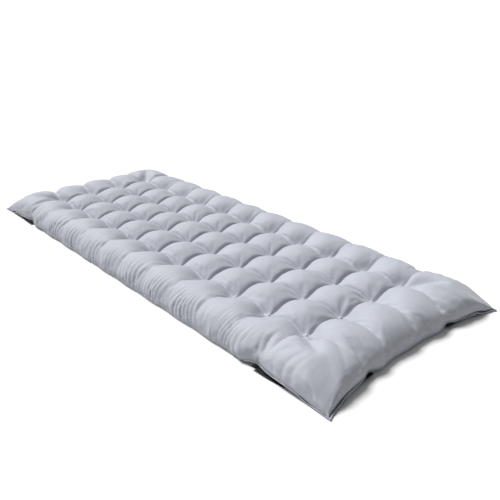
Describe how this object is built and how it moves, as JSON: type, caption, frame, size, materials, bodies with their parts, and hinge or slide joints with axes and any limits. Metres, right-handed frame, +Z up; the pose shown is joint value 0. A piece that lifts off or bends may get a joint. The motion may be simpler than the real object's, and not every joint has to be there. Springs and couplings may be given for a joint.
{
  "type": "futon mattress",
  "caption": "Thin tufted mattress pad with a knife-edge seam, puffy domes between stitched tufts and an elastic strap across each corner; folds in half.",
  "frame": {"origin": "centre of the pad in plan, on the surface that it lies on", "axes": "+X along the length towards the foot end, +Y across the width to the left side, +Z up"},
  "size_m": [1.9, 0.743, 0.095],
  "materials": {
    "cover_cloth": "matte twill-woven polyester",
    "batting": "lofty bonded fibre",
    "seam_binding": "turned and stitched cloth edge",
    "tuft_thread": "twisted thread",
    "elastic": "ribbed woven elastic"
  },
  "bodies": {
    "head_half": {"top_panel_head": "cover_cloth", "bottom_panel_head": "cover_cloth", "upper_batt_head": "batting", "middle_batt_head": "batting", "lower_batt_head": "batting", "edge_seam_head": "seam_binding", "tuft_row_01": "tuft_thread", "tuft_row_02": "tuft_thread", "tuft_row_03": "tuft_thread", "tuft_row_04": "tuft_thread", "tuft_row_05": "tuft_thread", "tuft_row_06": "tuft_thread", "strap_tabs_head_left": "elastic", "strap_tabs_head_right": "elastic"},
    "foot_half": {"top_panel_foot": "cover_cloth", "bottom_panel_foot": "cover_cloth", "upper_batt_foot": "batting", "middle_batt_foot": "batting", "lower_batt_foot": "batting", "edge_seam_foot": "seam_binding", "tuft_row_07": "tuft_thread", "tuft_row_08": "tuft_thread", "tuft_row_09": "tuft_thread", "tuft_row_10": "tuft_thread", "tuft_row_11": "tuft_thread", "strap_tabs_foot_left": "elastic", "strap_tabs_foot_right": "elastic"},
    "strap_head_left": {"corner_strap_head_left": "elastic"},
    "strap_head_right": {"corner_strap_head_right": "elastic"},
    "strap_foot_left": {"corner_strap_foot_left": "elastic"},
    "strap_foot_right": {"corner_strap_foot_right": "elastic"}
  },
  "joints": [
    {"name": "fold", "type": "hinge", "parent": "head_half", "child": "foot_half", "pos_m": [0.0035, 0, 0.0952], "axis": [0, -1, 0], "range_deg": [0, 178]},
    {"name": "strap_head_left_swing", "type": "hinge", "parent": "head_half", "child": "strap_head_left", "pos_m": [-0.7, 0.3605, 0.0095], "axis": [0.7521, 0.659, 0], "range_deg": [0, 5]},
    {"name": "strap_head_right_swing", "type": "hinge", "parent": "head_half", "child": "strap_head_right", "pos_m": [-0.7, -0.3605, 0.0095], "axis": [-0.7521, 0.659, 0], "range_deg": [0, 5]},
    {"name": "strap_foot_left_swing", "type": "hinge", "parent": "foot_half", "child": "strap_foot_left", "pos_m": [0.7, 0.3605, 0.0095], "axis": [0.7521, -0.659, 0], "range_deg": [0, 5]},
    {"name": "strap_foot_right_swing", "type": "hinge", "parent": "foot_half", "child": "strap_foot_right", "pos_m": [0.7, -0.3605, 0.0095], "axis": [-0.7521, -0.659, 0], "range_deg": [0, 5]}
  ]
}
